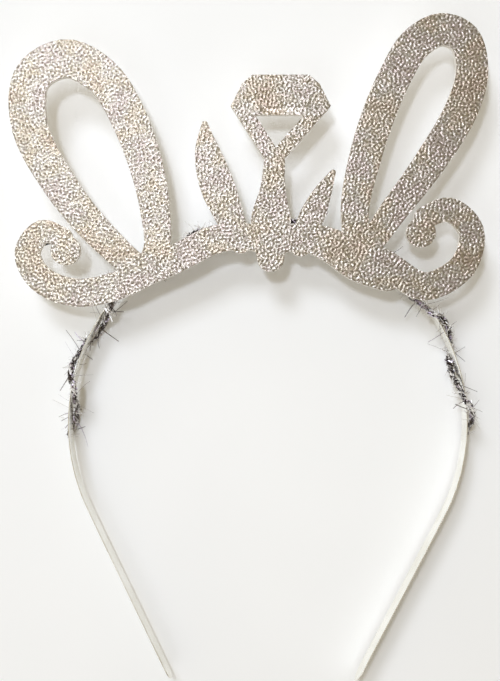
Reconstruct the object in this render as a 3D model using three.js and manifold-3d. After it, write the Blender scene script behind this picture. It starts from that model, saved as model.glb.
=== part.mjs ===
// A bachelorette tiara: a flat crest of scrolls, two open loops and a cut gem, die-cut from
// glitter foam and glued to the front edge of a slim metal headband that is wound with tinsel.
// Millimetres. X runs across the band, Y from the band's tips to the crest, and Z up from the
// table that the tiara lies on, face up.
import * as THREE from "three";
import { mergeVertices } from "three/addons/utils/BufferGeometryUtils.js";
import Module from "manifold-3d";

const wasm = await Module();
wasm.setup();

// Headband: a flat strip bent to a round arch that runs on into two straight legs.
const ARCH_RADIUS = 66; // to the middle of the strip's thickness
const LEG_LEAN_DEG = 26.7; // how far each leg leans in from straight down
const LEG_LENGTH = 62.8;
const BAND_WIDTH = 8; // across the strip, which is upright on the table
const BAND_THICKNESS = 0.6;
const BAND_EDGE_RADIUS = 0.2;
const ARCH_STATIONS = 48;
const TIP_STATIONS = 5;

// Tinsel: a soft strand that winds round the band, with foil tufts along its two sides.
const TINSEL_DIAMETER = 2.2;
const TINSEL_PITCH = 31;
const TINSEL_LEFT_DEG = 95; // where it ends on the left, from the top of the arch
const TINSEL_RIGHT_DEG = 92.5;
const TINSEL_FRONT_DEG = 2; // one place where it lies on the band's front edge
const TINSEL_SIDES = 6;
const TINSEL_STEPS_PER_TURN = 13;
const WINDING_SQUARENESS = 0.55; // 1 winds in an ellipse, and less follows the strip's corners
const TUFT_LENGTH = 6;
const TUFT_BREADTH = 0.9;
const TUFT_DEPTH = 0.5;
const TUFTS_PER_SIDE = 3; // for each side of the band and each turn

// Crest: one sheet, cut through.
const CREST_THICKNESS = 2;
const CREST_SPAN = 156;
const CREST_RISE = 95.5;
const CREST_DROP = 2.5; // of its tables' zero, below the top of the arch
const CREST_TILT_DEG = 1; // anticlockwise, against the band
const STROKE = 9.8; // the usual breadth of a stroke
const STROKE_STEPS = 5; // between two rows of a stroke's table
const CAP_STEPS = 7;
const KNOB_SIDES = 24;

// Gem in the middle of the crest.
const GEM_WIDTH = 32.7;
const GEM_TABLE = 18.5;
const GEM_SHOULDER = 25.4; // across the two corners between the table and the girdle
const GEM_CROWN = 10.2;
const GEM_SHOULDER_DROP = 3;
const GEM_PAVILION = 16.8;
const GEM_CULET = 7.2;
const GEM_LEAN = 2; // sideways shift of the culet, to the left
const GEM_FRAME = 4.9; // breadth of the two slanting sides round the window
const GEM_WINDOW_DROP = 3; // from the girdle to the window's top edge
const GEM_GROOVE_WIDTH = 13.2;
const GEM_GROOVE_HEIGHT = 3;
const GEM_GROOVE_DEPTH = 0.5;
const GEM_MIDDLE = { across: 0.019, up: 0.425 }; // the middle of the girdle

// Hot glue between the band's front edge and the crest's back, where the strand is behind the
// band: turns are counted from the strand's place on the front edge.
const GLUE_RADIUS = 2.6;
const GLUE_BULGE = 0.5;
const GLUE_SIDES = 12;
const GLUE_DABS = [
  { name: "glue_dab_left", turns: -1.5 },
  { name: "glue_dab_middle", turns: -0.5 },
  { name: "glue_dab_right", turns: 1.5 },
];

const CLEARANCE = 0.3;

// Heights, from the middle of the band's width.
const WINDING_OUT = BAND_THICKNESS / 2 + CLEARANCE + TINSEL_DIAMETER / 2;
const WINDING_UP = BAND_WIDTH / 2 + CLEARANCE + TINSEL_DIAMETER / 2;
const CREST_BACK = WINDING_UP + TINSEL_DIAMETER / 2 + CLEARANCE;

// The strokes of the crest. Across is a share of the crest's span from the middle of the band,
// up is a share of its rise from the top of the arch, and broad is a share of the usual stroke.
const OPEN_STROKES = {
  rail: [
    { across: -0.27, up: -0.15, broad: 0.87 },
    { across: -0.195, up: -0.092, broad: 0.94 },
    { across: -0.119, up: -0.031, broad: 0.94 },
    { across: -0.057, up: -0.021, broad: 0.87 },
    { across: 0.0, up: -0.034, broad: 0.94 },
    { across: 0.061, up: -0.021, broad: 0.9 },
    { across: 0.124, up: -0.051, broad: 1.14 },
    { across: 0.182, up: -0.109, broad: 1.27 },
    { across: 0.241, up: -0.154, broad: 1.07 },
  ],
  leftFoot: [
    { across: -0.253, up: -0.137, broad: 0.87 },
    { across: -0.329, up: -0.191, broad: 0.94 },
    { across: -0.412, up: -0.212, broad: 0.94 },
    { across: -0.484, up: -0.164, broad: 0.9 },
    { across: -0.511, up: -0.075, broad: 0.84 },
    { across: -0.479, up: -0.003, broad: 0.77 },
    { across: -0.438, up: -0.024, broad: 0.7 },
  ],
  rightFoot: [
    { across: 0.165, up: -0.041, broad: 0.8 },
    { across: 0.241, up: -0.116, broad: 0.9 },
    { across: 0.32, up: -0.191, broad: 0.94 },
    { across: 0.4, up: -0.12, broad: 0.9 },
    { across: 0.417, up: 0.0, broad: 0.84 },
    { across: 0.371, up: 0.072, broad: 0.8 },
    { across: 0.32, up: 0.044, broad: 0.74 },
  ],
  leftLeaf: [
    { across: -0.065, up: -0.041, broad: 0.74 },
    { across: -0.086, up: 0.041, broad: 0.94 },
    { across: -0.115, up: 0.157, broad: 1.14 },
    { across: -0.134, up: 0.267, broad: 0.87 },
    { across: -0.14, up: 0.362, broad: 0.23 },
  ],
  rightLeaf: [
    { across: 0.061, up: -0.055, broad: 0.67 },
    { across: 0.071, up: -0.007, broad: 0.8 },
    { across: 0.088, up: 0.062, broad: 0.84 },
    { across: 0.109, up: 0.137, broad: 0.57 },
    { across: 0.128, up: 0.198, broad: 0.2 },
  ],
  gemStem: [
    { across: 0.006, up: 0.239, broad: 0.7 },
    { across: 0.002, up: 0.144, broad: 0.84 },
    { across: -0.002, up: 0.031, broad: 1.34 },
    { across: -0.002, up: -0.096, broad: 0.9 },
  ],
};

// The strokes that close on themselves, each from its foot up its left side.
const PETALS = {
  leftPetal: [
    { across: -0.266, up: -0.13, broad: 0.87 },
    { across: -0.358, up: -0.014, broad: 1.01 },
    { across: -0.446, up: 0.164, broad: 1.14 },
    { across: -0.507, up: 0.362, broad: 1.21 },
    { across: -0.5, up: 0.526, broad: 1.24 },
    { across: -0.429, up: 0.588, broad: 1.27 },
    { across: -0.35, up: 0.52, broad: 1.24 },
    { across: -0.295, up: 0.369, broad: 1.21 },
    { across: -0.26, up: 0.205, broad: 1.11 },
    { across: -0.243, up: 0.055, broad: 0.97 },
    { across: -0.241, up: -0.062, broad: 0.87 },
  ],
  rightPetal: [
    { across: 0.186, up: -0.068, broad: 0.8 },
    { across: 0.262, up: 0.082, broad: 0.94 },
    { across: 0.339, up: 0.253, broad: 1.07 },
    { across: 0.398, up: 0.417, broad: 1.11 },
    { across: 0.419, up: 0.547, broad: 1.07 },
    { across: 0.402, up: 0.656, broad: 1.07 },
    { across: 0.354, up: 0.687, broad: 1.07 },
    { across: 0.299, up: 0.636, broad: 1.11 },
    { across: 0.258, up: 0.526, broad: 1.11 },
    { across: 0.224, up: 0.397, broad: 1.11 },
    { across: 0.195, up: 0.246, broad: 1.07 },
    { across: 0.174, up: 0.068, broad: 0.94 },
  ],
};

// Round ends of the scrolls. Radius is a share of the usual stroke.
const KNOBS = [
  { across: -0.431, up: -0.068, radius: 0.5 },
  { across: 0.312, up: -0.007, radius: 0.5 },
];

// A three.js geometry as a solid that can be joined and cut.
function solidOf(geometry) {
  const bare = geometry.clone();
  bare.deleteAttribute("normal");
  bare.deleteAttribute("uv");
  const merged = mergeVertices(bare, 1e-4);
  return new wasm.Manifold(
    new wasm.Mesh({
      numProp: 3,
      vertProperties: merged.attributes.position.array,
      triVerts: new Uint32Array(merged.index.array),
    }),
  );
}

// A solid as a three.js geometry.
function geometryOf(solid) {
  const mesh = solid.getMesh();
  const geometry = new THREE.BufferGeometry();
  geometry.setAttribute("position", new THREE.BufferAttribute(mesh.vertProperties, 3));
  geometry.setIndex(new THREE.BufferAttribute(mesh.triVerts, 1));
  geometry.computeVertexNormals();
  return geometry;
}

function fuse(geometries) {
  return geometries.map(solidOf).reduce((whole, next) => whole.add(next));
}

// A closed surface over rings of points that have the same number of points each.
function loft(rings) {
  const size = rings[0].length;
  const points = rings.flat();
  const faces = [];
  for (let r = 0; r + 1 < rings.length; r++) {
    for (let k = 0; k < size; k++) {
      const a = r * size + k;
      const b = r * size + ((k + 1) % size);
      faces.push(a, b, a + size, b, b + size, a + size);
    }
  }
  const last = (rings.length - 1) * size;
  for (let k = 1; k + 1 < size; k++) {
    faces.push(0, k + 1, k);
    faces.push(last, last + k, last + k + 1);
  }
  const geometry = new THREE.BufferGeometry().setFromPoints(points);
  geometry.setIndex(faces);
  geometry.computeVertexNormals();
  return geometry;
}

// Where the band's middle line is at a length from the top of the arch, left being negative,
// with the direction that points away from the wearer's head.
const ARCH_HALF = ARCH_RADIUS * THREE.MathUtils.degToRad(90 + LEG_LEAN_DEG);
const BAND_HALF = ARCH_HALF + LEG_LENGTH;

function bandPlace(length) {
  const side = length < 0 ? -1 : 1;
  const reach = Math.abs(length);
  const turn = Math.min(reach, ARCH_HALF) / ARCH_RADIUS;
  const out = new THREE.Vector3(side * Math.sin(turn), Math.cos(turn), 0);
  const along = new THREE.Vector3(side * Math.cos(turn), -Math.sin(turn), 0);
  const place = new THREE.Vector3(0, -ARCH_RADIUS, 0)
    .addScaledVector(out, ARCH_RADIUS)
    .addScaledVector(along, Math.max(0, reach - ARCH_HALF));
  return { place, out };
}

function lengthAt(degrees) {
  return ARCH_RADIUS * THREE.MathUtils.degToRad(degrees);
}

// The strip's section at a length along the band, with its long edges rounded.
function bandSection(length, width) {
  const { place, out } = bandPlace(length);
  const h = BAND_THICKNESS / 2;
  const w = width / 2;
  const r = Math.min(BAND_EDGE_RADIUS, w / 2);
  const corners = [
    [h, -w + r],
    [h, w - r],
    [h - r, w],
    [r - h, w],
    [-h, w - r],
    [-h, r - w],
    [r - h, -w],
    [h - r, -w],
  ];
  return corners.map(([o, z]) => {
    return place.clone().addScaledVector(out, o).add(new THREE.Vector3(0, 0, z));
  });
}

// The band's strip, with half-round ends.
function makeBand() {
  const radius = BAND_WIDTH / 2;
  const tip = [];
  for (let k = 1; k <= TIP_STATIONS; k++) {
    const angle = (k / TIP_STATIONS) * (Math.PI / 2);
    tip.push({
      length: BAND_HALF - radius + radius * Math.sin(angle),
      width: BAND_WIDTH * Math.max(Math.cos(angle), 0.2),
    });
  }
  const leg = { length: BAND_HALF - radius, width: BAND_WIDTH };
  const stations = [...tip.toReversed(), leg].map((s) => ({ ...s, length: -s.length }));
  for (let k = 0; k <= ARCH_STATIONS; k++) {
    const length = ARCH_HALF * ((2 * k) / ARCH_STATIONS - 1);
    stations.push({ length, width: BAND_WIDTH });
  }
  stations.push(leg, ...tip);
  return loft(stations.map((s) => bandSection(s.length, s.width)));
}

// The strand's middle at a length along the band, and the direction from the band to it.
function windingPlace(length) {
  const { place, out } = bandPlace(length);
  const turn = ((length - lengthAt(TINSEL_FRONT_DEG)) / TINSEL_PITCH) * 2 * Math.PI;
  const squared = (value) => Math.sign(value) * Math.abs(value) ** WINDING_SQUARENESS;
  const outward = squared(Math.sin(turn));
  const upward = squared(Math.cos(turn));
  place.addScaledVector(out, WINDING_OUT * outward);
  place.z += WINDING_UP * upward;
  return { place, away: out.multiplyScalar(Math.sign(outward)), upward };
}

// One foil tuft, a flat spike that stands out from the strand.
function makeTuft(length, tilt) {
  const { place, away, upward } = windingPlace(length);
  const spike = new THREE.ConeGeometry(TUFT_BREADTH / 2, TUFT_LENGTH, 4);
  spike.scale(1, 1, TUFT_DEPTH / TUFT_BREADTH);
  spike.translate(0, TUFT_LENGTH / 2, 0);
  const lean = new THREE.Vector3(0, 0, -0.25 * upward);
  const across = new THREE.Vector3(-away.y, away.x, 0).multiplyScalar(tilt);
  const aim = away.clone().add(lean).add(across).normalize();
  spike.applyQuaternion(
    new THREE.Quaternion().setFromUnitVectors(new THREE.Vector3(0, 1, 0), aim),
  );
  spike.translate(place.x, place.y, place.z);
  return spike;
}

function makeTinsel() {
  const start = -lengthAt(TINSEL_LEFT_DEG);
  const end = lengthAt(TINSEL_RIGHT_DEG);
  const turns = (end - start) / TINSEL_PITCH;
  const steps = Math.round(turns * TINSEL_STEPS_PER_TURN);
  const points = [];
  for (let k = 0; k <= steps; k++) {
    points.push(windingPlace(start + ((end - start) * k) / steps).place);
  }
  const section = new THREE.Shape();
  for (let k = 0; k < TINSEL_SIDES; k++) {
    const angle = (k / TINSEL_SIDES) * 2 * Math.PI;
    const x = (TINSEL_DIAMETER / 2) * Math.cos(angle);
    const y = (TINSEL_DIAMETER / 2) * Math.sin(angle);
    if (k === 0) section.moveTo(x, y);
    else section.lineTo(x, y);
  }
  const strand = new THREE.ExtrudeGeometry(section, {
    extrudePath: new THREE.CatmullRomCurve3(points),
    steps,
    bevelEnabled: false,
  });
  const tufts = [];
  const halfTurn = TINSEL_PITCH / 2;
  const first = lengthAt(TINSEL_FRONT_DEG);
  const low = Math.ceil((start - first) / halfTurn);
  const high = Math.floor((end - first) / halfTurn);
  for (let half = low; half < high; half++) {
    for (let k = 0; k < TUFTS_PER_SIDE; k++) {
      const share = 0.3 + (0.4 * k) / (TUFTS_PER_SIDE - 1);
      const tilt = k - (TUFTS_PER_SIDE - 1) / 2 + 0.3 * (half % 3);
      tufts.push(makeTuft(first + (half + share) * halfTurn, 0.6 * tilt));
    }
  }
  return geometryOf(fuse([strand, ...tufts]));
}

function crestPoint({ across, up }) {
  return new THREE.Vector2(across * CREST_SPAN, up * CREST_RISE - CREST_DROP);
}

function cutFromSheet(shape) {
  return new THREE.ExtrudeGeometry(shape, { depth: CREST_THICKNESS, bevelEnabled: false });
}

// A smooth line through a table's rows, with the stroke's breadth as its third coordinate.
function strokeLine(rows, closed) {
  const points = rows.map((row) => {
    const { x, y } = crestPoint(row);
    return new THREE.Vector3(x, y, row.broad * STROKE);
  });
  return new THREE.CatmullRomCurve3(points, closed);
}

// A half circle round an end of a stroke, without its two end points.
function strokeCap({ middle, heading, half }, from) {
  const arc = [];
  for (let k = 1; k < CAP_STEPS; k++) {
    const angle = heading + from - (Math.PI * k) / CAP_STEPS;
    const reach = new THREE.Vector2(Math.cos(angle), Math.sin(angle));
    arc.push(middle.clone().addScaledVector(reach, half));
  }
  return arc;
}

// The part of a stroke between two shares of its line, cut from the sheet with round ends.
function cutStroke(line, from, to, steps) {
  const left = [];
  const right = [];
  const ends = [];
  for (let k = 0; k <= steps; k++) {
    const share = from + ((to - from) * k) / steps;
    const point = line.getPoint(share);
    const along = line.getTangent(share);
    const heading = Math.atan2(along.y, along.x);
    const half = point.z / 2;
    const side = new THREE.Vector2(-Math.sin(heading), Math.cos(heading));
    const middle = new THREE.Vector2(point.x, point.y);
    left.push(middle.clone().addScaledVector(side, half));
    right.push(middle.clone().addScaledVector(side, -half));
    if (k === 0 || k === steps) ends.push({ middle, heading, half });
  }
  const outline = [
    ...left,
    ...strokeCap(ends[1], Math.PI / 2),
    ...right.toReversed(),
    ...strokeCap(ends[0], -Math.PI / 2),
  ];
  return cutFromSheet(new THREE.Shape(outline));
}

function makeStroke(rows) {
  return cutStroke(strokeLine(rows, false), 0, 1, (rows.length - 1) * STROKE_STEPS);
}

// A closed stroke in two halves, so that neither outline crosses itself.
function makePetal(rows) {
  const line = strokeLine(rows, true);
  const steps = Math.ceil((rows.length * STROKE_STEPS) / 2);
  return [cutStroke(line, 0, 0.5, steps), cutStroke(line, 0.5, 1, steps)];
}

function makeKnob(row) {
  const { x, y } = crestPoint(row);
  const disc = new THREE.CylinderGeometry(
    row.radius * STROKE,
    row.radius * STROKE,
    CREST_THICKNESS,
    KNOB_SIDES,
  );
  return disc.rotateX(Math.PI / 2).translate(x, y, CREST_THICKNESS / 2);
}

// The gem's outline round a three-cornered window.
function makeGem() {
  const middle = crestPoint(GEM_MIDDLE);
  const at = (x, y) => {
    const lean = (GEM_LEAN * Math.min(y, 0)) / GEM_PAVILION;
    return new THREE.Vector2(middle.x + x + lean, middle.y + y);
  };
  const shape = new THREE.Shape([
    at(-GEM_CULET / 2, -GEM_PAVILION),
    at(GEM_CULET / 2, -GEM_PAVILION),
    at(GEM_WIDTH / 2, 0),
    at(GEM_SHOULDER / 2, GEM_CROWN - GEM_SHOULDER_DROP),
    at(GEM_TABLE / 2, GEM_CROWN),
    at(-GEM_TABLE / 2, GEM_CROWN),
    at(-GEM_SHOULDER / 2, GEM_CROWN - GEM_SHOULDER_DROP),
    at(-GEM_WIDTH / 2, 0),
  ]);
  const slope = (GEM_WIDTH - GEM_CULET) / 2 / GEM_PAVILION;
  const sideways = GEM_FRAME * Math.hypot(1, slope);
  const halfAt = (drop) => GEM_WIDTH / 2 - drop * slope - sideways;
  const bottom = (GEM_WIDTH / 2 - sideways) / slope;
  const top = halfAt(GEM_WINDOW_DROP);
  shape.holes.push(
    new THREE.Path([at(-top, -GEM_WINDOW_DROP), at(0, -bottom), at(top, -GEM_WINDOW_DROP)]),
  );
  return cutFromSheet(shape);
}

// The pressed groove along the girdle, between the gem's two side corners.
function makeGroove() {
  const middle = crestPoint(GEM_MIDDLE);
  const groove = new THREE.BoxGeometry(
    GEM_GROOVE_WIDTH,
    GEM_GROOVE_HEIGHT,
    2 * GEM_GROOVE_DEPTH,
  );
  const y = middle.y - GEM_WINDOW_DROP + GEM_GROOVE_HEIGHT / 2;
  return groove.translate(middle.x, y, CREST_THICKNESS);
}

function makeCrest() {
  const strokes = Object.values(OPEN_STROKES).map(makeStroke);
  const petals = Object.values(PETALS).flatMap(makePetal);
  const whole = fuse([...strokes, ...petals, ...KNOBS.map(makeKnob), makeGem()]);
  return geometryOf(whole.subtract(solidOf(makeGroove())));
}

// A flattened drop of hot glue, as tall as the room between the band and the crest.
function makeGlueDab() {
  const height = CREST_BACK - BAND_WIDTH / 2 - 2 * CLEARANCE;
  const profile = [
    new THREE.Vector2(0, 0),
    new THREE.Vector2(GLUE_RADIUS - GLUE_BULGE, 0),
    new THREE.Vector2(GLUE_RADIUS, height / 3),
    new THREE.Vector2(GLUE_RADIUS, (2 * height) / 3),
    new THREE.Vector2(GLUE_RADIUS - GLUE_BULGE, height),
    new THREE.Vector2(0, height),
  ];
  return new THREE.LatheGeometry(profile, GLUE_SIDES).rotateX(Math.PI / 2);
}

const METAL = new THREE.MeshStandardMaterial({ color: "#dcdcd8", roughness: 0.22, metalness: 1 });
const FOIL = new THREE.MeshStandardMaterial({ color: "#b9b4b2", roughness: 0.25, metalness: 1 });
const GLITTER = new THREE.MeshStandardMaterial({ color: "#cbbfb4", roughness: 0.5, metalness: 0.6 });
const GLUE = new THREE.MeshStandardMaterial({ color: "#e8e6dc", roughness: 0.35, metalness: 0 });

function named(name, geometry, material) {
  const mesh = new THREE.Mesh(geometry, material);
  mesh.name = name;
  return mesh;
}

const tiara = new THREE.Group();
tiara.add(named("band", makeBand(), METAL));
tiara.add(named("tinsel", makeTinsel(), FOIL));

const crest = named("crest", makeCrest(), GLITTER);
crest.position.z = CREST_BACK;
crest.rotation.z = THREE.MathUtils.degToRad(CREST_TILT_DEG);
tiara.add(crest);

for (const dab of GLUE_DABS) {
  const glue = named(dab.name, makeGlueDab(), GLUE);
  const length = lengthAt(TINSEL_FRONT_DEG) + dab.turns * TINSEL_PITCH;
  glue.position.copy(bandPlace(length).place);
  glue.position.z = BAND_WIDTH / 2 + CLEARANCE;
  tiara.add(glue);
}

// The origin is on the table, under the middle of the whole.
const bounds = new THREE.Box3().setFromObject(tiara, true);
const middle = bounds.getCenter(new THREE.Vector3());
tiara.position.set(-middle.x, -middle.y, -bounds.min.z);

export default tiara;
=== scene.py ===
"""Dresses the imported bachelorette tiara: a glitter foam crest glued to a tinsel-wound headband.

The tiara lies face up on a pale table and is seen from straight above. Lengths are in metres in
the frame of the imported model, with X across the band, Y from its tips to the crest and Z up.
"""

from __future__ import annotations

import logging
import math
import random
from dataclasses import dataclass
from enum import Enum

import bmesh
import bpy
import numpy as np
from mathutils import Matrix, Vector, noise
from mathutils.kdtree import KDTree

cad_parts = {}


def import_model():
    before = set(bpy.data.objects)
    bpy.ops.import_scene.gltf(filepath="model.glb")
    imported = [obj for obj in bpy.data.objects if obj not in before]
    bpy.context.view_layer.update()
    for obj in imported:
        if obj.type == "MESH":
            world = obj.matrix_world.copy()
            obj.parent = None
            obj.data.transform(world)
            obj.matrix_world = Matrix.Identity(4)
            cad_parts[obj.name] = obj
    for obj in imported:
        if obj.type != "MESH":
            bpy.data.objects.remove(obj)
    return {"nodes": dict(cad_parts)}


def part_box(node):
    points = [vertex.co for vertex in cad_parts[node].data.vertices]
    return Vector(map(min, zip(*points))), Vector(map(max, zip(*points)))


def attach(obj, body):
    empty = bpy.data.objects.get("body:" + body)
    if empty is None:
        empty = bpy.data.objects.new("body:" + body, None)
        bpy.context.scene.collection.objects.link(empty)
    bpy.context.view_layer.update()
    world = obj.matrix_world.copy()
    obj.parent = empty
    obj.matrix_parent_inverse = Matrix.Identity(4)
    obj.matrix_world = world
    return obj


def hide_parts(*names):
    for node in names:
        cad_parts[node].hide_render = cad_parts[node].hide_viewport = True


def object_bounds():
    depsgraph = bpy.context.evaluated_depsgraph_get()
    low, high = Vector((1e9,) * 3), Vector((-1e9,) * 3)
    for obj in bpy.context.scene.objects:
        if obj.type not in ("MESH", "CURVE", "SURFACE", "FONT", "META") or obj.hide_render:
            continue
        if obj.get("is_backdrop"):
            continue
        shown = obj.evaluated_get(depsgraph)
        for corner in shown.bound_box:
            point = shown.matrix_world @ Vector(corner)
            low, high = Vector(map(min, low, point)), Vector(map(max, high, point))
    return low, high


LOG = logging.getLogger("tiara")
MM = 0.001
BODY = "root"
WHITE = "#ffffff"
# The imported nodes' triangles share corners to within this.
JOIN_DISTANCE = 2e-6
# A shorter vector points nowhere.
SHORTEST = 1e-6


def linear(hex_colour: str) -> tuple[float, float, float, float]:
    """Turns an sRGB hex value into linear red, green, blue and alpha.

    Args:
        hex_colour: Six hex digits after a hash sign.

    Returns:
        The colour for a node's socket.
    """
    parts = [int(hex_colour[i : i + 2], 16) / 255 for i in (1, 3, 5)]
    low = [v / 12.92 if v <= 0.04045 else ((v + 0.055) / 1.055) ** 2.4 for v in parts]
    return low[0], low[1], low[2], 1.0


def feed(
    tree: bpy.types.NodeTree, node: bpy.types.Node, inputs: dict[str | int, object]
) -> None:
    """Links or sets a node's inputs.

    Args:
        tree: The node tree it is in.
        node: The node.
        inputs: An output socket or a value for each input, by name or place.
    """
    for key, value in inputs.items():
        if isinstance(value, bpy.types.NodeSocket):
            tree.links.new(value, node.inputs[key])
        else:
            node.inputs[key].default_value = value


def add_node(
    tree: bpy.types.NodeTree,
    kind: str,
    inputs: dict[str | int, object] | None = None,
    stops: tuple[tuple[float, str], ...] = (),
    **settings: object,
) -> bpy.types.Node:
    """Adds a node, sets it up and links it.

    Args:
        tree: The node tree it goes in.
        kind: The node's type name.
        inputs: An output socket or a value for each input, by name or place.
        stops: A ramp's places from 0 to 1 with their hex colours, lowest first.
        **settings: The node's own properties.

    Returns:
        The new node.
    """
    node = tree.nodes.new(kind)
    for name, value in settings.items():
        setattr(node, name, value)
    feed(tree, node, inputs or {})
    if stops:
        elements = node.color_ramp.elements
        while len(elements) < len(stops):
            elements.new(1.0)
        for element, (place, hex_colour) in zip(elements, stops):
            element.position = place
            element.color = linear(hex_colour)
    return node


def new_material(name: str) -> tuple[bpy.types.Material, bpy.types.NodeTree, bpy.types.Node]:
    """Starts a material with one Principled shader.

    Args:
        name: The material's common name.

    Returns:
        The material, its node tree and the shader.
    """
    material = bpy.data.materials.new(name)
    material.use_nodes = True
    tree = material.node_tree
    return material, tree, tree.nodes["Principled BSDF"]


def linked(name: str, data: bpy.types.ID) -> bpy.types.Object:
    """Makes an object of a mesh, curve, light or camera and links it, at the origin.

    Args:
        name: The object's name.
        data: What it shows.

    Returns:
        The linked object.
    """
    thing = bpy.data.objects.new(name, data)
    bpy.context.scene.collection.objects.link(thing)
    return thing


def mesh_object(name: str, bm: bmesh.types.BMesh, smooth: bool = True) -> bpy.types.Object:
    """Makes an object from a bmesh and frees the bmesh.

    Args:
        name: The object's name.
        bm: The finished bmesh.
        smooth: Whether its faces are shaded smooth.

    Returns:
        The linked object, at the origin.
    """
    mesh = bpy.data.meshes.new(name)
    for face in bm.faces:
        face.smooth = smooth
    bm.to_mesh(mesh)
    bm.free()
    return linked(name, mesh)


def applied_mesh(thing: bpy.types.Object) -> bpy.types.Mesh:
    """Makes a mesh of a curve, or of an object with its modifiers applied."""
    graph = bpy.context.evaluated_depsgraph_get()
    return bpy.data.meshes.new_from_object(thing.evaluated_get(graph))


def merged_copy(node: bpy.types.Object) -> bmesh.types.BMesh:
    """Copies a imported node's loose triangles into one joined bmesh.

    Args:
        node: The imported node's object.

    Returns:
        The joined copy.
    """
    bm = bmesh.new()
    bm.from_mesh(node.data)
    bmesh.ops.remove_doubles(bm, verts=bm.verts, dist=JOIN_DISTANCE)
    return bm


@dataclass(frozen=True)
class Labyrinth:
    """Worm-like ridges of one spacing and no direction, as a crinkled film has them.

    Their heights are held in a square tile that repeats, with a sample each step.
    """

    side: int
    pitch: float
    seed: int
    step: float = 0.1 * MM
    spacing_play: float = 0.42
    steepness: float = 1.15
    # Moves the tiara off the tile's corner, so that no point has a negative place.
    shift: float = 1.0

    def _tile(self) -> np.ndarray:
        """Filters noise down to one spacing.

        Returns:
            Heights from -1 to 1, a row for each step along Y.
        """
        rng = np.random.default_rng(self.seed)
        spectrum = np.fft.fft2(rng.standard_normal((self.side, self.side)))
        rows = np.fft.fftfreq(self.side)[:, None]
        columns = np.fft.fftfreq(self.side)[None, :]
        distance = np.hypot(rows, columns) * (self.pitch / self.step)
        spectrum *= np.exp(-(((distance - 1.0) / self.spacing_play) ** 2))
        heights = np.fft.ifft2(spectrum).real
        return np.tanh(self.steepness * heights / heights.std())

    def heights(self, points: np.ndarray) -> np.ndarray:
        """Reads the tile at points, blending between its samples.

        Args:
            points: The points, one a row.

        Returns:
            The height at each point, from -1 to 1.
        """
        tile = self._tile()
        u = (points[:, 0] + self.shift) / self.step
        v = (points[:, 1] + self.shift) / self.step
        i = np.floor(u).astype(int)
        j = np.floor(v).astype(int)
        a = u - i
        b = v - j
        i0, i1, j0, j1 = (k % self.side for k in (i, i + 1, j, j + 1))
        low = tile[j0, i0] * (1 - a) + tile[j0, i1] * a
        high = tile[j1, i0] * (1 - a) + tile[j1, i1] * a
        return low * (1 - b) + high * b


class Face(Enum):
    """The crest's two material places."""

    GLITTER = 0
    FOAM = 1


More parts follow.
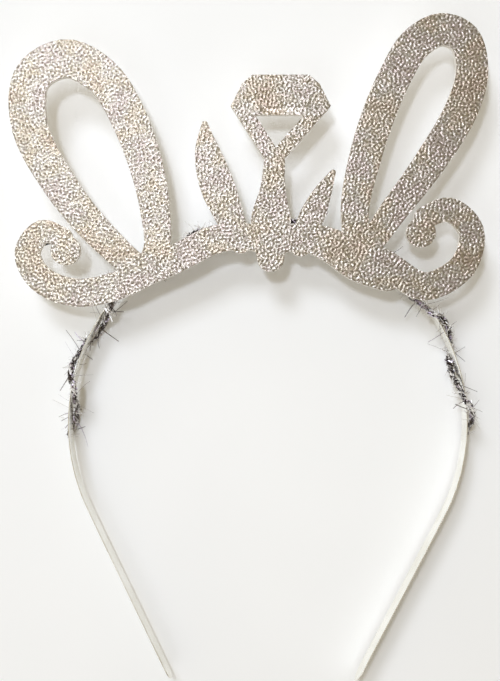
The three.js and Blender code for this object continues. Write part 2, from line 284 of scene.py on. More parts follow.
@dataclass(frozen=True)
class CrinkledGlitter:
    """Silver glitter film pressed on foam.

    The eye gets a metal film in slow warm and cool patches, with painted shade in its troughs and
    a painted highlight on its ridges and in the gem's groove.
    Its flakes glint one by one, because each has its own tilt and a trace of pink or gold.
    """

    # The trough colour is painted shade for the relief's hollows, and the ridge colour is a
    # painted highlight for its tops; the film colour between them is the film's own.
    trough_painted_shade: str = "#746a60"
    film: str = "#aea89e"
    ridge: str = "#eee9e4"
    lilac: str = "#faf5f8"
    cream: str = "#fcf7ee"
    blush: str = "#f6ebe2"
    pink_flake: str = "#ecd6da"
    pale_flake: str = "#fffdf8"
    gold_flake: str = "#efe8c8"
    patch_mm: float = 9.0
    flake_mm: float = 0.4
    flake_tint: float = 0.6
    flake_tilt: float = 0.28
    metallic: float = 0.72
    roughness: float = 0.36

    def make(self) -> bpy.types.Material:
        """Makes the material, whose ramp paints shade in the troughs and a highlight on the
        ridges, after the height pressed into the mesh.

        Returns:
            The material.
        """
        material, tree, shader = new_material("crinkled_silver_glitter_film")
        place = add_node(tree, "ShaderNodeTexCoord").outputs["Object"]
        # The pressed height read here sets where painted shade and painted highlight go on the
        # film.
        height = add_node(tree, "ShaderNodeAttribute", attribute_name="crinkle")
        painted_relief_shade = add_node(
            tree,
            "ShaderNodeValToRGB",
            {"Fac": height.outputs["Fac"]},
            ((0.0, self.trough_painted_shade), (0.35, self.film), (0.8, self.film), (1.0, self.ridge)),
        )
        patches = add_node(
            tree,
            "ShaderNodeTexNoise",
            {"Vector": place, "Scale": 1 / (self.patch_mm * MM), "Detail": 3.0},
        )
        hues = add_node(
            tree,
            "ShaderNodeValToRGB",
            {"Fac": patches.outputs["Fac"]},
            ((0.36, self.lilac), (0.48, WHITE), (0.58, self.cream), (0.7, self.blush)),
        )
        patched = add_node(
            tree,
            "ShaderNodeMix",
            {"Factor": 1.0, "A": painted_relief_shade.outputs["Color"], "B": hues.outputs["Color"]},
            data_type="RGBA",
            blend_type="MULTIPLY",
        )
        # A flake is drawn nearly three times its real 0.15 mm, or it would not show in the render.
        flakes = add_node(
            tree, "ShaderNodeTexVoronoi", {"Vector": place, "Scale": 1 / (self.flake_mm * MM)}
        )
        draw = add_node(tree, "ShaderNodeSeparateColor", {"Color": flakes.outputs["Color"]})
        tints = add_node(
            tree,
            "ShaderNodeValToRGB",
            {"Fac": draw.outputs["Red"]},
            ((0.0, self.pink_flake), (0.3, WHITE), (0.7, self.pale_flake), (1.0, self.gold_flake)),
        )
        tinted = add_node(
            tree,
            "ShaderNodeMix",
            {
                "Factor": self.flake_tint,
                "A": patched.outputs["Result"],
                "B": tints.outputs["Color"],
            },
            data_type="RGBA",
            blend_type="MULTIPLY",
        )
        tilt = add_node(
            tree,
            "ShaderNodeVectorMath",
            {0: flakes.outputs["Color"], 1: (0.5, 0.5, 0.5)},
            operation="SUBTRACT",
        )
        lean = add_node(
            tree,
            "ShaderNodeVectorMath",
            {0: tilt.outputs[0], "Scale": self.flake_tilt},
            operation="SCALE",
        )
        geometry = add_node(tree, "ShaderNodeNewGeometry")
        leaned = add_node(
            tree,
            "ShaderNodeVectorMath",
            {0: geometry.outputs["Normal"], 1: lean.outputs[0]},
            operation="ADD",
        )
        normal = add_node(
            tree, "ShaderNodeVectorMath", {0: leaned.outputs[0]}, operation="NORMALIZE"
        )
        finish = {
            "Base Color": tinted.outputs["Result"],
            "Normal": normal.outputs[0],
            "Metallic": self.metallic,
            "Roughness": self.roughness,
        }
        feed(tree, shader, finish)
        return material


@dataclass(frozen=True)
class FoamEdge:
    """Die-cut EVA foam, which the eye sees as a white matt wall, finely pored by the knife."""

    base: str = "#f6f2ec"
    pore: str = "#d9d0c6"
    pore_mm: float = 0.25
    roughness: float = 0.8

    def make(self) -> bpy.types.Material:
        """Makes the material: a white matt body with cut pores.

        Returns:
            The material.
        """
        material, tree, shader = new_material("white_eva_foam_cut_edge")
        place = add_node(tree, "ShaderNodeTexCoord").outputs["Object"]
        # A pore is drawn at about twice its real 0.1 mm, or it would not show in the render.
        pores = add_node(
            tree, "ShaderNodeTexVoronoi", {"Vector": place, "Scale": 1 / (self.pore_mm * MM)}
        )
        colour = add_node(
            tree,
            "ShaderNodeValToRGB",
            {"Fac": pores.outputs["Distance"]},
            ((0.0, self.pore), (0.35, self.base)),
        )
        bump = add_node(
            tree,
            "ShaderNodeBump",
            {"Height": pores.outputs["Distance"], "Strength": 0.4, "Distance": 0.06 * MM},
        )
        finish = {
            "Base Color": colour.outputs["Color"],
            "Normal": bump.outputs["Normal"],
            "Roughness": self.roughness,
        }
        feed(tree, shader, finish)
        return material


@dataclass(frozen=True)
class NickelStrip:
    """Nickel-plated spring steel, which the eye sees as a bright satin strip, faintly rolled."""

    base: str = "#faf9f3"
    dull: str = "#efede4"
    roughness: float = 0.22
    smear_mm: float = 9.0
    smear_roughness: float = 0.05
    grain_mm: float = 0.35
    grain_length_mm: float = 30.0

    def make(self) -> bpy.types.Material:
        """Makes the material: a metal with faint smears and rolling lines along its length.

        Returns:
            The material.
        """
        material, tree, shader = new_material("nickel_plated_spring_steel")
        place = add_node(tree, "ShaderNodeTexCoord").outputs["Object"]
        smears = add_node(
            tree,
            "ShaderNodeTexNoise",
            {"Vector": place, "Scale": 1 / (self.smear_mm * MM), "Detail": 5.0},
        )
        colour = add_node(
            tree,
            "ShaderNodeValToRGB",
            {"Fac": smears.outputs["Fac"]},
            ((0.35, self.dull), (0.6, self.base)),
        )
        gloss = add_node(
            tree,
            "ShaderNodeMapRange",
            {
                "Value": smears.outputs["Fac"],
                "From Min": 0.3,
                "From Max": 0.7,
                "To Min": self.roughness + self.smear_roughness,
                "To Max": self.roughness,
            },
        )
        # The strip stands on edge, so lines along its length change with height alone. They are
        # drawn about ten times their real breadth, or they would not show in the render.
        drawn_out = 1 / (self.grain_length_mm * MM)
        stretched = add_node(
            tree,
            "ShaderNodeMapping",
            {"Vector": place, "Scale": (drawn_out, drawn_out, 1 / (self.grain_mm * MM))},
        )
        grain = add_node(
            tree,
            "ShaderNodeTexNoise",
            {"Vector": stretched.outputs["Vector"], "Scale": 1.0, "Detail": 3.0},
        )
        bump = add_node(
            tree,
            "ShaderNodeBump",
            {"Height": grain.outputs["Fac"], "Strength": 0.35, "Distance": 0.02 * MM},
        )
        finish = {
            "Base Color": colour.outputs["Color"],
            "Roughness": gloss.outputs["Result"],
            "Normal": bump.outputs["Normal"],
            "Metallic": 1.0,
        }
        feed(tree, shader, finish)
        return material


@dataclass(frozen=True)
class TinselFoil:
    """Slit metallised film, which the eye sees as mirror-bright strips of many tones.

    A strip that catches no light is nearly black, and one that does is white or a little lilac.
    """

    dark: str = "#2b2221"
    grey: str = "#8d8583"
    lilac: str = "#c6b9d2"
    white: str = "#f6f4f2"
    white_metallic: float = 0.35
    roughness: float = 0.24

    def make(self) -> bpy.types.Material:
        """Makes the material: a metal whose tint is held by each strip.

        Returns:
            The material.
        """
        material, tree, shader = new_material("slit_metallised_film")
        tone = add_node(tree, "ShaderNodeAttribute", attribute_name="tone")
        colour = add_node(
            tree,
            "ShaderNodeValToRGB",
            {"Fac": tone.outputs["Fac"]},
            ((0.0, self.dark), (0.35, self.grey), (0.6, self.lilac), (0.75, self.white)),
        )
        # The white strips are less of a mirror, so that they stay white over the dark thread.
        mirror = add_node(
            tree,
            "ShaderNodeMapRange",
            {
                "Value": tone.outputs["Fac"],
                "From Min": 0.6,
                "From Max": 0.8,
                "To Min": 1.0,
                "To Max": self.white_metallic,
            },
        )
        finish = {
            "Base Color": colour.outputs["Color"],
            "Metallic": mirror.outputs["Result"],
            "Roughness": self.roughness,
        }
        feed(tree, shader, finish)
        return material


@dataclass(frozen=True)
class TwistedThread:
    """Dark lurex thread, which the eye sees as a dark core with broken metallic glints."""

    deep: str = "#231b19"
    glint: str = "#a59c99"
    film_mm: float = 0.35
    metallic: float = 0.7
    roughness: float = 0.4

    def make(self) -> bpy.types.Material:
        """Makes the material: dark fibres with the slit film that is twisted in with them.

        Returns:
            The material.
        """
        material, tree, shader = new_material("dark_lurex_thread")
        place = add_node(tree, "ShaderNodeTexCoord").outputs["Object"]
        film = add_node(
            tree,
            "ShaderNodeTexNoise",
            {"Vector": place, "Scale": 1 / (self.film_mm * MM), "Detail": 2.0},
        )
        colour = add_node(
            tree,
            "ShaderNodeValToRGB",
            {"Fac": film.outputs["Fac"]},
            ((0.45, self.deep), (0.62, self.glint)),
        )
        bump = add_node(
            tree,
            "ShaderNodeBump",
            {"Height": film.outputs["Fac"], "Strength": 0.8, "Distance": 0.15 * MM},
        )
        finish = {
            "Base Color": colour.outputs["Color"],
            "Normal": bump.outputs["Normal"],
            "Metallic": self.metallic,
            "Roughness": self.roughness,
        }
        feed(tree, shader, finish)
        return material


@dataclass(frozen=True)
class SetGlue:
    """Set hot-melt glue, which the eye sees as cloudy, slightly yellow and waxy."""

    base: str = "#eeebdf"
    cloud: str = "#e2ddcb"
    ripple_mm: float = 1.5
    roughness: float = 0.3
    clearness: float = 0.25

    def make(self) -> bpy.types.Material:
        """Makes the material: a waxy body with a soft ripple.

        Returns:
            The material.
        """
        material, tree, shader = new_material("set_hot_melt_glue")
        place = add_node(tree, "ShaderNodeTexCoord").outputs["Object"]
        ripple = add_node(
            tree,
            "ShaderNodeTexNoise",
            {"Vector": place, "Scale": 1 / (self.ripple_mm * MM), "Detail": 2.0},
        )
        colour = add_node(
            tree,
            "ShaderNodeValToRGB",
            {"Fac": ripple.outputs["Fac"]},
            ((0.3, self.cloud), (0.7, self.base)),
        )
        bump = add_node(
            tree,
            "ShaderNodeBump",
            {"Height": ripple.outputs["Fac"], "Strength": 0.3, "Distance": 0.1 * MM},
        )
        finish = {
            "Base Color": colour.outputs["Color"],
            "Normal": bump.outputs["Normal"],
            "Roughness": self.roughness,
            "Transmission Weight": self.clearness,
        }
        feed(tree, shader, finish)
        return material


@dataclass(frozen=True)
class WhiteLaminate:
    """Matt table laminate, which the eye sees as an even, very pale white."""

    shade: str = "#f9f9f8"
    light: str = "#fdfdfc"
    cloud_mm: float = 90.0
    roughness: float = 0.7

    def make(self) -> bpy.types.Material:
        """Makes the material: a white face with a hardly visible unevenness.

        Returns:
            The material.
        """
        material, tree, shader = new_material("white_matt_laminate")
        place = add_node(tree, "ShaderNodeTexCoord").outputs["Object"]
        cloud = add_node(
            tree,
            "ShaderNodeTexNoise",
            {"Vector": place, "Scale": 1 / (self.cloud_mm * MM), "Detail": 2.0},
        )
        colour = add_node(
            tree,
            "ShaderNodeValToRGB",
            {"Fac": cloud.outputs["Fac"]},
            ((0.3, self.shade), (0.7, self.light)),
        )
        feed(
            tree, shader, {"Base Color": colour.outputs["Color"], "Roughness": self.roughness}
        )
        return material


@dataclass
class Crest:
    """The die-cut glitter foam crest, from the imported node's outline.

    The groove's middle is given from the top of the band's arch, and the tilt is the crest's
    turn against the band. The ridges are a coarse labyrinth with a share of a finer one.
    """

    node: bpy.types.Object
    arch_top: Vector
    step: float = 0.28 * MM
    foam_thickness: float = 2 * MM
    cut_margin: float = 2 * MM
    knife_reach: float = 3 * MM
    knife_slant: float = 0.05 * MM
    face_depth: float = 0.1 * MM
    ridges: Labyrinth = Labyrinth(side=2048, pitch=1.2 * MM, seed=7)
    fine_ridges: Labyrinth = Labyrinth(side=1024, pitch=0.6 * MM, seed=11)
    ridge_height: float = 0.075 * MM
    fine_share: float = 0.35
    rim_reach: float = 0.8 * MM
    rim_fall: float = 0.03 * MM
    groove_middle: Vector = Vector((2.96, 36.59, 0)) * MM
    groove_size: Vector = Vector((13.2, 3.0, 0.22)) * MM
    groove_flank: float = 0.8 * MM
    groove_flattening: float = 0.2
    # The groove's bed gets this much painted highlight, which pushes it toward the ridge colour.
    groove_painted_highlight: float = 0.3
    tilt: float = math.radians(1)
    # How far up a face looks, as its normal's Z, where it is film and where it is a cut wall.
    film_rise: float = 0.3
    wall_rise: float = 0.5

    def build(self) -> bpy.types.Object:
        """Builds, crinkles and dresses the crest.

        Returns:
            The crest's object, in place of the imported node.
        """
        crest = self._cut_sheet()
        self._crinkle(crest)
        crest.data.materials.append(CrinkledGlitter().make())
        crest.data.materials.append(FoamEdge().make())
        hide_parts("crest")
        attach(crest, BODY)
        return crest

    def _cut_sheet(self) -> bpy.types.Object:
        """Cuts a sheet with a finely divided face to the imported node's outline.

        Returns:
            The flat cut sheet, without a material.
        """
        low, high = (Vector(corner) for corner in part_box("crest"))
        size = high - low + Vector((2 * self.cut_margin, 2 * self.cut_margin, 0))
        middle = (low + high) / 2
        sheet = bmesh.new()
        across = math.ceil(size.x / self.step)
        along = math.ceil(size.y / self.step)
        place = Matrix.Translation((middle.x, middle.y, high.z)) @ Matrix.Diagonal(
            (size.x / 2, size.y / 2, 1, 1)
        )
        bmesh.ops.create_grid(sheet, x_segments=across, y_segments=along, size=1, matrix=place)
        rim = [edge for edge in sheet.edges if edge.is_boundary]
        skirt = bmesh.ops.extrude_edge_only(sheet, edges=rim)["geom"]
        lower = [v for v in skirt if isinstance(v, bmesh.types.BMVert)]
        bmesh.ops.translate(sheet, verts=lower, vec=(0, 0, -self.foam_thickness))
        edges = [e for e in skirt if isinstance(e, bmesh.types.BMEdge) and e.is_boundary]
        bmesh.ops.edgeloop_fill(sheet, edges=edges)
        bmesh.ops.recalc_face_normals(sheet, faces=sheet.faces)
        cutter = merged_copy(self.node)
        for vert in cutter.verts:
            vert.co.z += self.knife_reach if vert.co.z > middle.z else -self.knife_reach
        knife = mesh_object("crest_cutter", cutter)
        crest = mesh_object("crest_sheet", sheet)
        cut = crest.modifiers.new("cut", "BOOLEAN")
        cut.operation = "INTERSECT"
        cut.object = knife
        cut.solver = "MANIFOLD"
        mesh = applied_mesh(crest)
        crest.modifiers.clear()
        mesh.materials.clear()
        crest.data = mesh
        bpy.data.objects.remove(knife)
        return crest

    def _crinkle(self, crest: bpy.types.Object) -> None:
        """Presses the ridges, the rolled rim and the gem's groove into the upper face, and stores
        where the material paints shade and highlight.

        Args:
            crest: The cut sheet, whose mesh is changed.
        """
        mesh = crest.data
        flat = np.empty(len(mesh.vertices) * 3)
        mesh.vertices.foreach_get("co", flat)
        points = flat.reshape(-1, 3)
        upper = points[:, 2] > points[:, 2].max() - self.face_depth
        inward, nearest, outward = self._rim(mesh, points, upper)
        ridge = self.ridges.heights(points)
        fine = self.fine_share * self.fine_ridges.heights(points)
        pressed = self._pressed(points)
        # The highest ridges stay level with the sheet's face, and all else is below them.
        depth = ridge + fine - (1 + self.fine_share)
        relief = self.ridge_height * depth * (1 - self.groove_flattening * pressed)
        edge = np.clip(1 - inward / self.rim_reach, 0, 1)
        height = relief - self.rim_fall * edge**2 - self.groove_size.z * pressed
        slant = self.knife_slant * edge[:, None] * outward[nearest]
        points[upper, 2] += height[upper]
        points[upper, :2] -= slant[upper]
        mesh.vertices.foreach_set("co", points.ravel())
        # The ridge heights and the groove are stored for the material's ramp, which paints shade
        # in the troughs and a highlight on the ridges and the groove's bed.
        crinkle = mesh.attributes.new("crinkle", "FLOAT", "POINT")
        painted_light_share = np.clip(0.5 + 0.5 * ridge + self.groove_painted_highlight * pressed, 0, 1)
        crinkle.data.foreach_set("value", painted_light_share)
        for polygon in mesh.polygons:
            glitter = polygon.normal.z > self.film_rise
            polygon.material_index = Face.GLITTER.value if glitter else Face.FOAM.value
            polygon.use_smooth = glitter
        mesh.update()

    def _rim(
        self, mesh: bpy.types.Mesh, points: np.ndarray, upper: np.ndarray
    ) -> tuple[np.ndarray, np.ndarray, np.ndarray]:
        """Finds how far each point of the upper face is from the outline.

        Args:
            mesh: The cut sheet's mesh.
            points: Its vertices' places.
            upper: Which vertices are on the upper face.

        Returns:
            Each point's distance from the outline, the index of its nearest rim vertex, and the
            direction out of the sheet at each vertex, which is zero off the rim.
        """
        outward = np.zeros((len(points), 2))
        bm = bmesh.new()
        bm.from_mesh(mesh)
        bm.normal_update()
        rim = []
        for vert in bm.verts:
            walls = [f.normal for f in vert.link_faces if abs(f.normal.z) < self.wall_rise]
            if not upper[vert.index] or not walls:
                continue
            away = sum(walls, Vector()).to_2d()
            if away.length > SHORTEST:
                outward[vert.index] = away.normalized()
            rim.append(vert.index)
        bm.free()
        tree = KDTree(len(rim))
        for index in rim:
            tree.insert((points[index, 0], points[index, 1], 0), index)
        tree.balance()
        inward = np.full(len(points), np.inf)
        nearest = np.zeros(len(points), dtype=int)
        for index in np.flatnonzero(upper):
            _, nearest[index], inward[index] = tree.find((points[index, 0], points[index, 1], 0))
        return inward, nearest, outward

    def _pressed(self, points: np.ndarray) -> np.ndarray:
        """Tells how deep in the gem's groove each point is.

        Args:
            points: The vertices' places.

        Returns:
            A share from 0, outside the groove, to 1, on its bed.
        """
        middle = self.groove_middle.copy()
        middle.rotate(Matrix.Rotation(self.tilt, 3, "Z"))
        middle += self.arch_top
        across = points[:, 0] - middle.x
        along = points[:, 1] - middle.y
        x = across * math.cos(self.tilt) + along * math.sin(self.tilt)
        y = along * math.cos(self.tilt) - across * math.sin(self.tilt)
        inside = np.minimum(
            self.groove_size.x / 2 - np.abs(x), self.groove_size.y / 2 - np.abs(y)
        )
        return np.clip(inside / self.groove_flank, 0, 1)


@dataclass
class Band:
    """The metal strip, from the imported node."""

    node: bpy.types.Object
    smoothing: int = 2

    def build(self) -> bpy.types.Object:
        """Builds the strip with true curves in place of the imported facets.

        Returns:
            The band's object.
        """
        band = mesh_object("band_strip", merged_copy(self.node))
        curve = band.modifiers.new("curve", "SUBSURF")
        curve.levels = curve.render_levels = self.smoothing
        band.data.materials.append(NickelStrip().make())
        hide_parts("band")
        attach(band, BODY)
        return band


@dataclass
class Winding:
    """The way that the strand takes round the band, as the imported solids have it.

    Squareness flattens each turn against the strip: 1 would make the turn round.
    """

    centre: Vector
    arch_radius: float = 66 * MM
    pitch: float = 31 * MM
    front: float = math.radians(2)
    left: float = math.radians(95)
    right: float = math.radians(92.5)
    half_thickness: float = 0.3 * MM
    half_width: float = 4 * MM
    clearance: float = 0.3 * MM
    strand: float = 2.2 * MM
    squareness: float = 0.55
    nudge: float = 0.2 * MM

    @classmethod
    def round_band(cls, low: Vector, high: Vector) -> Winding:
        """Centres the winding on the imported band's arch.

        Args:
            low: The lowest corner of the band's box.
            high: The highest corner of the band's box.

        Returns:
            The winding.
        """
        top = high.y - cls.half_thickness
        return cls(Vector(((low.x + high.x) / 2, top - cls.arch_radius, (low.z + high.z) / 2)))

    def ends(self) -> tuple[float, float]:
        """Gives the lengths from the arch's top at which the strand starts and stops."""
        return -self.arch_radius * self.left, self.arch_radius * self.right

    def at(self, length: float) -> Vector:
        """Finds the strand's middle.

        Args:
            length: Length along the band from the arch's top, negative to the left.

        Returns:
            The middle's place.
        """
        angle = length / self.arch_radius
        out = Vector((math.sin(angle), math.cos(angle), 0))
        turn = (length - self.front * self.arch_radius) / self.pitch * math.tau
        sideways = math.copysign(abs(math.sin(turn)) ** self.squareness, math.sin(turn))
        upward = math.copysign(abs(math.cos(turn)) ** self.squareness, math.cos(turn))
        room = self.clearance + self.strand / 2
        place = self.centre + out * (self.arch_radius + (self.half_thickness + room) * sideways)
        place.z += (self.half_width + room) * upward
        return place

    def frame(self, length: float) -> tuple[Vector, Vector, Vector, Vector]:
        """Finds the strand's middle with its direction and two more across it.

        Args:
            length: Length along the band from the arch's top, negative to the left.

        Returns:
            The middle, the direction along the strand, and two directions across it.
        """
        ahead = self.at(length + self.nudge)
        back = self.at(length - self.nudge)
        along = (ahead - back).normalized()
        side = along.cross(Vector((0, 0, 1))).normalized()
        return self.at(length), along, side, side.cross(along).normalized()


@dataclass(frozen=True)
class StripCut:
    """How one kind of foil strip is cut and tinted.

    It bends in so many lengths. The half breadth and the reach are ranges in millimetres. The
    shades run from 0, dark, to 1, white, and each has a weight that says how common it is.
    """

    count: int
    lengths: int
    half_breadth: tuple[float, float]
    reach: tuple[float, float]
    shades: tuple[tuple[float, float], ...]


@dataclass
class StripBatch:
    """The growing mesh of foil strips, the layer for their tints and the seeded draws."""

    mesh: bmesh.types.BMesh
    tone: bmesh.types.BMLayerItem
    chance: random.Random

    def blank(self, cut: StripCut) -> list[bmesh.types.BMVert]:
        """Adds a flat strip with the cut's lengths along Y, from -1 to 1 both ways."""
        return bmesh.ops.create_grid(
            self.mesh, x_segments=1, y_segments=cut.lengths, size=1
        )["verts"]

    def stray(self, spread: float) -> Vector:
        """Draws a vector whose three parts stray from zero by about the spread."""
        return Vector([self.chance.gauss(0, spread) for _ in range(3)])

    def shade(self, cut: StripCut) -> float:
        """Draws one of the cut's shades by its weight."""
        return self.chance.choices(*zip(*cut.shades))[0]


@dataclass
class Tinsel:
    """The tinsel garland: a twisted thread that holds slit foil strips.

    Roots and lifts are distances in millimetres from the thread's middle. A slant leans a strip
    along the thread, and the wind, a mean and a spread in radians, turns it round the thread. A
    twist strays the way it faces, a bow or bend curves it, a taper narrows its tip, and play
    strays its tint.
    """

    way: Winding
    half_span: float
    ply_radius: float = 0.48 * MM
    ply_offset: float = 0.45 * MM
    ply_pitch: float = 3.4 * MM
    strand_to_band: float = 1.3
    thread_steps: int = 620
    wrapped: StripCut = StripCut(
        2300, 2, (0.14, 0.3), (0.6, 1.5), ((0.05, 0.42), (0.3, 0.1), (0.6, 0.1), (0.9, 0.38))
    )
    wrapped_wind: tuple[float, float] = (0.35, 0.5)
    wrapped_twist: float = 0.3
    wrapped_lift: tuple[float, float] = (0.72, 1.0)
    wrapped_bow: float = 0.25
    wrapped_play: float = 0.05
    loose: StripCut = StripCut(
        140, 3, (0.08, 0.16), (4.5, 8.0), ((0.1, 0.3), (0.35, 0.35), (0.6, 0.15), (0.9, 0.2))
    )
    loose_slant: float = 0.9
    loose_bend: float = 0.12
    loose_root: float = 0.65
    loose_taper: float = 0.3
    least_outward: float = 0.2
    fluff: StripCut = StripCut(700, 1, (0.06, 0.13), (1.2, 3.4), ((0.95, 1.0),))
    fluff_slant: float = 1.6
    fluff_twist: float = 0.5
    fluff_root: float = 0.7
    film_thickness: float = 0.03 * MM
    floor: float = 0.12 * MM
    ceiling: float = 15.0 * MM
    crest_ceiling: float = 13.1 * MM
    crest_half_length: float = 60 * MM
    seed: int = 5

    def build(self) -> list[bpy.types.Object]:
        """Builds the thread and the strips.

        Returns:
            The garland's objects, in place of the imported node.
        """
        thread = self._thread()
        strips = self._strips()
        film = strips.modifiers.new("film", "SOLIDIFY")
        film.thickness = self.film_thickness
        film.offset = 0
        thread.data.materials.append(TwistedThread().make())
        strips.data.materials.append(TinselFoil().make())
        for piece in (thread, strips):
            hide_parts("tinsel")
            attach(piece, BODY)
        return [thread, strips]

    def _thread(self) -> bpy.types.Object:
        """Twists two plies along the winding.

        Returns:
            The thread's object.
        """
        start, end = self.way.ends()
        curve = bpy.data.curves.new("tinsel_thread", "CURVE")
        curve.dimensions = "3D"
        curve.bevel_depth = self.ply_radius
        curve.bevel_resolution = 1
        curve.use_fill_caps = True
        for ply in range(2):
            spline = curve.splines.new("POLY")
            spline.points.add(self.thread_steps)
            for k in range(self.thread_steps + 1):
                length = start + (end - start) * k / self.thread_steps
                place, _, side, over = self.way.frame(length)
                twist = length / self.ply_pitch * math.tau * self.strand_to_band
                turn = twist + ply * math.pi
                place += (side * math.cos(turn) + over * math.sin(turn)) * self.ply_offset
                spline.points[k].co = (*place, 1)
        plies = linked("tinsel_thread_curve", curve)
        mesh = applied_mesh(plies)
        bpy.data.objects.remove(plies)
        mesh.name = "tinsel_thread"
        for polygon in mesh.polygons:
            polygon.use_smooth = True
        return linked("tinsel_thread", mesh)

    def _strips(self) -> bpy.types.Object:
        """Wraps most foil strips round the thread and lets a few stand out.

        Returns:
            The object of all strips.
        """
        mesh = bmesh.new()
        batch = StripBatch(mesh, mesh.verts.layers.float.new("tone"), random.Random(self.seed))
        ends = self.way.ends()
        for _ in range(self.wrapped.count):
            self._wrapped_strip(batch, batch.chance.uniform(*ends))
        for _ in range(self.loose.count):
            self._loose_strip(batch, batch.chance.uniform(*ends))
        for _ in range(self.fluff.count):
            self._fluff_strip(batch, batch.chance.uniform(*ends))
        return mesh_object("tinsel_strips", mesh, smooth=False)

    def _wrapped_strip(self, batch: StripBatch, length: float) -> None:
        """Adds one short strip that lies wound on the thread.

        Args:
            batch: The strips so far.
            length: Where it is along the band.
        """
        chance = batch.chance
        middle, along, spoke, round_thread = self._side(batch, length)
        wind = chance.gauss(*self.wrapped_wind)
        heading = along * math.cos(wind) + round_thread * math.sin(wind)
        facing = (spoke + batch.stray(self.wrapped_twist)).normalized()
        across = heading.cross(facing).normalized()
        across = across * chance.uniform(*self.wrapped.half_breadth) * MM
        reach = chance.uniform(*self.wrapped.reach) * MM
        middle = middle + spoke * chance.uniform(*self.wrapped_lift) * MM
        shade = batch.shade(self.wrapped)
        for vert in batch.blank(self.wrapped):
            share = vert.co.y
            bow = spoke * (self.wrapped_bow * reach * share * share)
            spot = middle + heading * (share * reach) - bow + across * vert.co.x
            vert.co = self._held_in(spot, length)
            vert[batch.tone] = shade + chance.uniform(-self.wrapped_play, self.wrapped_play)

    def _loose_strip(self, batch: StripBatch, length: float) -> None:
        """Adds one long strip that stands out from the thread.

        Args:
            batch: The strips so far.
            length: Where it leaves the thread, along the band.
        """
        chance = batch.chance
        middle, along, spoke, _ = self._side(batch, length)
        aim = (spoke + along * chance.uniform(-self.loose_slant, self.loose_slant)).normalized()
        bend = batch.stray(self.loose_bend)
        flat = aim.cross(batch.stray(1)).normalized()
        half = chance.uniform(*self.loose.half_breadth) * MM
        reach = chance.uniform(*self.loose.reach) * MM
        shade = batch.shade(self.loose)
        root = middle + spoke * self.loose_root * MM
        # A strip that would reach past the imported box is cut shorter.
        beyond = abs((root + (aim + bend) * reach).x) - self.half_span
        if beyond > 0:
            reach -= beyond / max(abs((aim + bend).x), self.least_outward)
        for vert in batch.blank(self.loose):
            share = (vert.co.y + 1) / 2
            sideways = vert.co.x * half * (1 - self.loose_taper * share)
            spot = root + (aim + bend * share) * (share * reach) + flat * sideways
            vert.co = self._held_in(spot, length)
            vert[batch.tone] = shade

    def _fluff_strip(self, batch: StripBatch, length: float) -> None:
        """Adds one fine white strip of the fluff that stands close round the thread.

        Args:
            batch: The strips so far.
            length: Where it leaves the thread, along the band.
        """
        chance = batch.chance
        middle, along, spoke, _ = self._side(batch, length)
        aim = (spoke + along * chance.uniform(-self.fluff_slant, self.fluff_slant)).normalized()
        flat = aim.cross(spoke + batch.stray(self.fluff_twist)).normalized()
        half = chance.uniform(*self.fluff.half_breadth) * MM
        reach = chance.uniform(*self.fluff.reach) * MM
        root = middle + spoke * self.fluff_root * MM
        for vert in batch.blank(self.fluff):
            share = (vert.co.y + 1) / 2
            spot = root + aim * (share * reach) + flat * (vert.co.x * half)
            vert.co = self._held_in(spot, length)
            vert[batch.tone] = self.fluff.shades[0][0]

    def _side(self, batch: StripBatch, length: float) -> tuple[Vector, Vector, Vector, Vector]:
        """Draws a side of the thread for a strip.

        Args:
            batch: The strips so far.
            length: Where the strip is along the band.

        Returns:
            The thread's middle, the direction along it, the direction out of it on the drawn
            side, and the direction round it there.
        """
        middle, along, side, over = self.way.frame(length)
        angle = batch.chance.uniform(0, math.tau)
        spoke = side * math.cos(angle) + over * math.sin(angle)
        return middle, along, spoke, over * math.cos(angle) - side * math.sin(angle)

    def _held_in(self, spot: Vector, length: float) -> Vector:
        """Holds a point of a strip above the table, and beneath the crest where it is covered.

        Args:
            spot: The point's place.
            length: Where the strip is along the band.

        Returns:
            The place that the point may have.
        """
        covered = abs(length) < self.crest_half_length
        spot.z = min(max(spot.z, self.floor), self.crest_ceiling if covered else self.ceiling)
        return spot


@dataclass
class GlueDab:
    """One drop of hot glue between the band and the crest.

    Ripples are counted per metre, and the drift sets each drop in its own part of the noise.
    """

    node: bpy.types.Object
    ripples: float = 600
    drift: float = 90
    pull: float = 0.06
    ripple_pull: float = 0.1
    smoothing: int = 1

    def build(self) -> bpy.types.Object:
        """Builds the drop, pulled out of round where the nozzle left it.

        Returns:
            The drop's object.
        """
        name = self.node.name
        bm = merged_copy(self.node)
        low, high = (Vector(corner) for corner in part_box(name))
        middle = (low + high) / 2
        for vert in bm.verts:
            ripple = noise.noise((vert.co - middle) * self.ripples + middle * self.drift)
            away = vert.co - middle
            away.z = 0
            vert.co -= away * (self.pull + self.ripple_pull * abs(ripple))
        dab = mesh_object(f"{name}_drop", bm)
        smooth = dab.modifiers.new("round", "SUBSURF")
        smooth.levels = smooth.render_levels = self.smoothing
        dab.data.materials.append(SetGlue().make())
        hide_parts(name)
        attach(dab, BODY)
        return dab


@dataclass(frozen=True)
class AreaLamp:
    """A square light that faces the tiara, of so many watts and one side's length."""

    name: str
    place: tuple[float, float, float]
    side: float
    watts: float
    tint: str

    def hang(self) -> None:
        """Adds the light to the scene."""
        light = bpy.data.lights.new(self.name, "AREA")
        light.size = self.side
        light.energy = self.watts
        light.color = linear(self.tint)[:3]
        lamp = linked(self.name, light)
        lamp.location = self.place
        lamp.rotation_euler = (-Vector(self.place)).to_track_quat("-Z", "Y").to_euler()


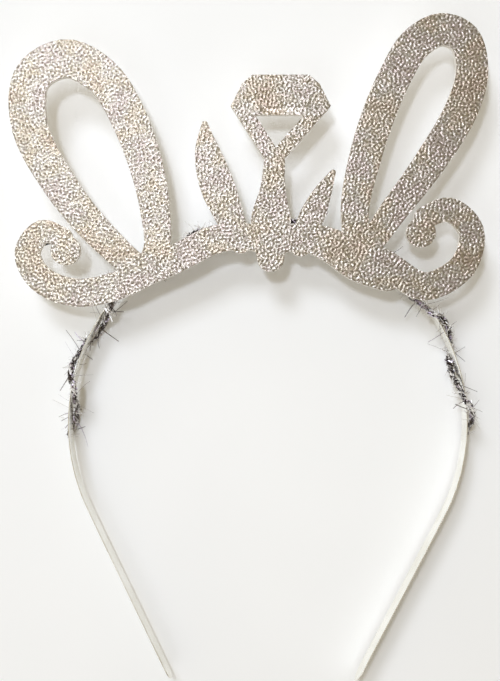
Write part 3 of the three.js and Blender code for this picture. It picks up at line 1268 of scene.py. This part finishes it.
@dataclass
class Studio:
    """The pale table, the light and the camera.

    The aim is the spot on the table under the camera, from the top of the band's arch. The room
    is brightest toward its bright side, and its ramp runs from the dark side to that.
    """

    arch_top: Vector
    aim: Vector = Vector((-6.4, -38.5, 0)) * MM
    height: float = 330 * MM
    lens: float = 51.1
    sensor: float = 36
    nearest: float = 10 * MM
    roll: float = math.radians(1)
    table_half: float = 1.5
    bright_side: tuple[float, float, float] = (-0.85, 0.5, 0.0)
    room: tuple[tuple[float, str], ...] = ((0.0, "#cabea6"), (0.5, "#dccdb0"), (1.0, "#fff4d8"))
    room_strength: float = 0.53
    lamps: tuple[AreaLamp, ...] = (
        AreaLamp("lamp", (-0.12, 0.16, 0.7), 0.08, 1.56, "#e9f1ff"),
        AreaLamp("window", (-0.7, 1.35, 1.7), 0.65, 20.2, "#e9f1ff"),
        AreaLamp("far_wall", (-0.25, -0.45, 0.8), 0.5, 1.05, "#ecf3ff"),
    )

    def build(self) -> None:
        """Builds the table, the room's light, the lamps and the camera."""
        self._table()
        self._room()
        for lamp in self.lamps:
            lamp.hang()
        self._camera()

    def _table(self) -> None:
        """Lays a plain pale table top under the tiara."""
        bm = bmesh.new()
        bmesh.ops.create_grid(bm, x_segments=1, y_segments=1, size=self.table_half)
        table = mesh_object("table_top", bm, smooth=False)
        table.data.materials.append(WhiteLaminate().make())
        table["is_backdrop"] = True

    def _room(self) -> None:
        """Lights the tiara all round from a warm room, darker to the right."""
        world = bpy.data.worlds.new("room")
        bpy.context.scene.world = world
        world.use_nodes = True
        tree = world.node_tree
        way = add_node(tree, "ShaderNodeTexCoord").outputs["Generated"]
        toward = add_node(
            tree, "ShaderNodeVectorMath", {0: way, 1: self.bright_side}, operation="DOT_PRODUCT"
        )
        share = add_node(
            tree,
            "ShaderNodeMapRange",
            {"Value": toward.outputs["Value"], "From Min": -0.5, "From Max": 0.5},
        )
        colour = add_node(
            tree, "ShaderNodeValToRGB", {"Fac": share.outputs["Result"]}, self.room
        )
        light = {"Color": colour.outputs["Color"], "Strength": self.room_strength}
        feed(tree, tree.nodes["Background"], light)

    def _camera(self) -> None:
        """Puts the camera straight above, as the photo was taken."""
        lens = bpy.data.cameras.new("camera")
        lens.lens = self.lens
        lens.sensor_width = self.sensor
        lens.clip_start = self.nearest
        camera = linked("camera", lens)
        spot = self.arch_top + self.aim
        camera.location = (spot.x, spot.y, self.height)
        camera.rotation_euler = (0, 0, self.roll)
        bpy.context.scene.camera = camera


def main() -> None:
    """Builds every piece in order."""
    logging.basicConfig(level=logging.INFO, format="%(name)s %(message)s")
    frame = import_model()
    packed_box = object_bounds()
    nodes = frame["nodes"]
    bpy.context.scene.view_settings.view_transform = "Standard"
    winding = Winding.round_band(*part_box("band"))
    arch_top = winding.centre + Vector((0, winding.arch_radius, 0))
    Studio(arch_top).build()
    pieces = [Crest(nodes["crest"], arch_top).build(), Band(nodes["band"]).build()]
    pieces += Tinsel(winding, packed_box[1][0]).build()
    pieces += [GlueDab(nodes[name]).build() for name in nodes if name.startswith("glue_dab")]
    for piece in pieces:
        LOG.info("%s has %d faces", piece.name, len(piece.data.polygons))


if __name__ == "__main__":
    main()
